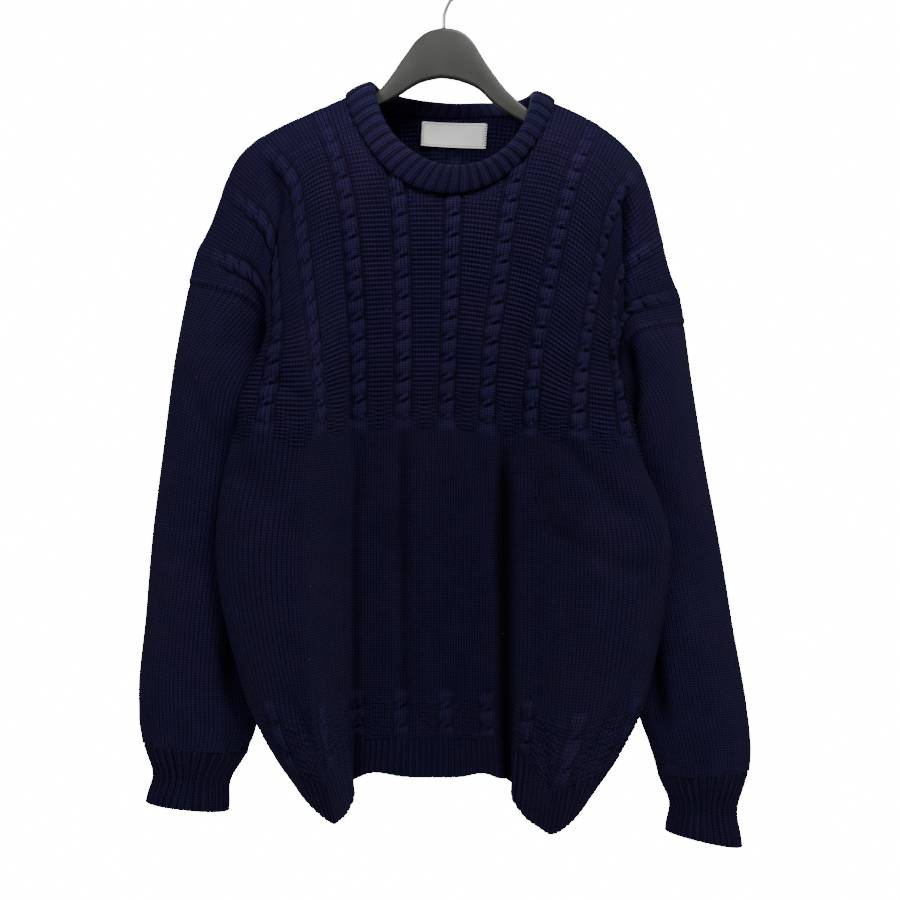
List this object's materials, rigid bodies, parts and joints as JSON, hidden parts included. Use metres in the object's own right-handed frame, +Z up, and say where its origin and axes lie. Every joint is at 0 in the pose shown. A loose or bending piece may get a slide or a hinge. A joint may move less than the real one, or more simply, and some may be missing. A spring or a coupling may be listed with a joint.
{
  "type": "guernsey fisherman sweater on a clothes hanger",
  "caption": "Heavy navy knitted pullover with a cabled yoke, ribbed neck, cuffs and hem, hanging open and empty on a moulded hanger with a wire hook.",
  "frame": {"origin": "top of the hook's inside, where a rail carries the hanger", "axes": "+Z up, the sweater's front faces -Y, +X to the right seen from the front"},
  "size_m": [0.608, 0.1624, 0.8868],
  "materials": {
    "knit": "dense worsted knit in dark navy wool",
    "label": "white woven satin ribbon, bare",
    "plastic": "dark grey moulded plastic, fine satin texture",
    "steel": "silver wire, plated"
  },
  "bodies": {
    "root": {"front": "knit", "back": "knit", "sleeve_left": "knit", "sleeve_right": "knit", "cuff_left": "knit", "cuff_right": "knit", "hem_front": "knit", "hem_back": "knit", "neckband": "knit", "neck_label": "label", "hanger_body": "plastic", "hanger_hook": "steel"}
  },
  "joints": []
}
